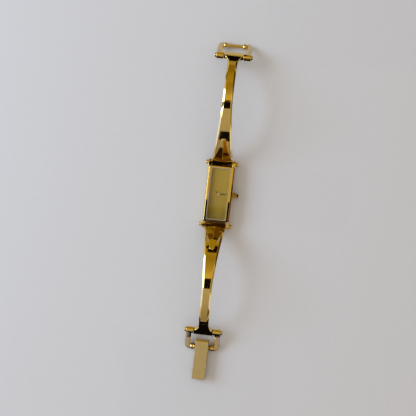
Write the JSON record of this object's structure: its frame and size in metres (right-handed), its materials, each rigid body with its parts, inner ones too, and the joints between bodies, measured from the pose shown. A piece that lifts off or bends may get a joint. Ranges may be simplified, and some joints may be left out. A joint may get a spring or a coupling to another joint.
{
  "type": "wristwatch",
  "caption": "Slim rectangular wristwatch lying open: plain champagne dial, fluted crown, two hinged bangle arms with stirrup ends and a fold-over clasp.",
  "frame": {"origin": "centre of the case back's flat outer face", "axes": "+X towards the crown (three o'clock), +Y towards twelve o'clock along the opened watch, +Z out through the dial"},
  "size_m": [0.0176, 0.1547, 0.0186],
  "materials": {
    "gold_polished": "mirror-polished yellow gold plate",
    "gold_brushed": "lengthwise brushed gold plate",
    "hand_gold": "polished gold plate",
    "back_steel": "fine brushed stainless steel",
    "dial_champagne": "satin champagne, sunray brushed under a clear coat",
    "crystal_glass": "polished mineral glass with a polished bevel",
    "rubber_black": "smooth black rubber",
    "spacer_plastic": "moulded off-white plastic",
    "movement_brass": "gilt, fine-turned",
    "movement_steel": "polished steel",
    "battery_steel": "nickel-plated steel",
    "coil_copper": "enamelled copper wire",
    "board_green": "matte green solder mask"
  },
  "bodies": {
    "watch_case": {"case_middle": "gold_polished", "case_back": "back_steel", "case_back_gasket": "rubber_black", "crystal": "crystal_glass", "crystal_gasket": "rubber_black", "dial": "dial_champagne", "movement_ring": "spacer_plastic", "main_plate": "movement_brass", "train_bridge": "movement_brass", "bridge_screws": "movement_steel", "battery": "battery_steel", "battery_clamp": "movement_steel", "motor_stator": "movement_steel", "motor_coil": "coil_copper", "circuit_board": "board_green", "quartz_can": "movement_steel", "crown_tube": "gold_polished", "upper_hinge_pin": "gold_polished", "lower_hinge_pin": "gold_polished"},
    "crown_slide": {"setting_lever": "movement_steel"},
    "crown_knob": {"crown": "gold_polished", "crown_stem": "movement_steel", "sliding_pinion": "movement_steel", "crown_gasket": "rubber_black"},
    "minute_group": {"minute_hand": "hand_gold", "cannon_pinion": "movement_brass", "centre_wheel": "movement_brass"},
    "hour_group": {"hour_hand": "hand_gold", "hour_wheel": "movement_brass"},
    "minute_wheel_group": {"minute_wheel": "movement_brass"},
    "third_wheel_group": {"third_wheel": "movement_brass"},
    "upper_arm_group": {"upper_arm": "gold_polished", "upper_tongue": "gold_polished"},
    "upper_stirrup_group": {"upper_stirrup": "gold_polished", "upper_stirrup_pin": "gold_polished"},
    "lower_arm_group": {"lower_arm": "gold_polished", "lower_tongue": "gold_polished"},
    "lower_stirrup_group": {"lower_stirrup": "gold_polished", "lower_stirrup_pin": "gold_polished"},
    "clasp_base_group": {"clasp_base": "gold_polished", "clasp_pin": "gold_polished"},
    "clasp_cover_group": {"clasp_cover": "gold_brushed"}
  },
  "joints": [
    {"name": "crown_pull", "type": "slide", "parent": "watch_case", "child": "crown_slide", "axis": [1, 0, 0], "range_m": [0, 0.001]},
    {"name": "crown_turn", "type": "hinge", "parent": "crown_slide", "child": "crown_knob", "pos_m": [0.0076, 0, 0.00274], "axis": [1, 0, 0], "continuous": true},
    {"name": "minute_turn", "type": "hinge", "parent": "watch_case", "child": "minute_group", "pos_m": [0, 0, 0.004], "axis": [0, 0, 1], "continuous": true},
    {"name": "hour_turn", "type": "hinge", "parent": "watch_case", "child": "hour_group", "pos_m": [0, 0, 0.004], "axis": [0, 0, 1], "continuous": true},
    {"name": "minute_wheel_turn", "type": "hinge", "parent": "watch_case", "child": "minute_wheel_group", "pos_m": [0, -0.002, 0.0032], "axis": [0, 0, 1], "continuous": true},
    {"name": "third_wheel_turn", "type": "hinge", "parent": "watch_case", "child": "third_wheel_group", "pos_m": [-0.00096, 0.00263, 0.002], "axis": [0, 0, 1], "continuous": true},
    {"name": "upper_arm_hinge", "type": "hinge", "parent": "watch_case", "child": "upper_arm_group", "pos_m": [0, 0.0143, 0.0026], "axis": [1, 0, 0], "range_deg": [-95, 20]},
    {"name": "upper_stirrup_pivot", "type": "hinge", "parent": "upper_arm_group", "child": "upper_stirrup_group", "pos_m": [0, 0.06246, 0.00715], "axis": [1, 0, 0], "range_deg": [-100, 60]},
    {"name": "lower_arm_hinge", "type": "hinge", "parent": "watch_case", "child": "lower_arm_group", "pos_m": [0, -0.0143, 0.0026], "axis": [1, 0, 0], "range_deg": [-20, 91]},
    {"name": "lower_stirrup_pivot", "type": "hinge", "parent": "lower_arm_group", "child": "lower_stirrup_group", "pos_m": [0, -0.06265, 0.0042], "axis": [1, 0, 0], "range_deg": [-40, 100]},
    {"name": "clasp_pivot", "type": "hinge", "parent": "lower_stirrup_group", "child": "clasp_base_group", "pos_m": [0, -0.07053, 0.0013], "axis": [1, 0, 0], "range_deg": [-20, 80]},
    {"name": "cover_hinge", "type": "hinge", "parent": "clasp_base_group", "child": "clasp_cover_group", "pos_m": [0, -0.06833, 0.0022], "axis": [-1, 0, 0], "range_deg": [0, 80]}
  ],
  "couplings": [
    {"joint": "hour_turn", "follows": "minute_turn", "ratio": 0.083333},
    {"joint": "minute_wheel_turn", "follows": "minute_turn", "ratio": -0.33333},
    {"joint": "third_wheel_turn", "follows": "minute_turn", "ratio": -6}
  ]
}
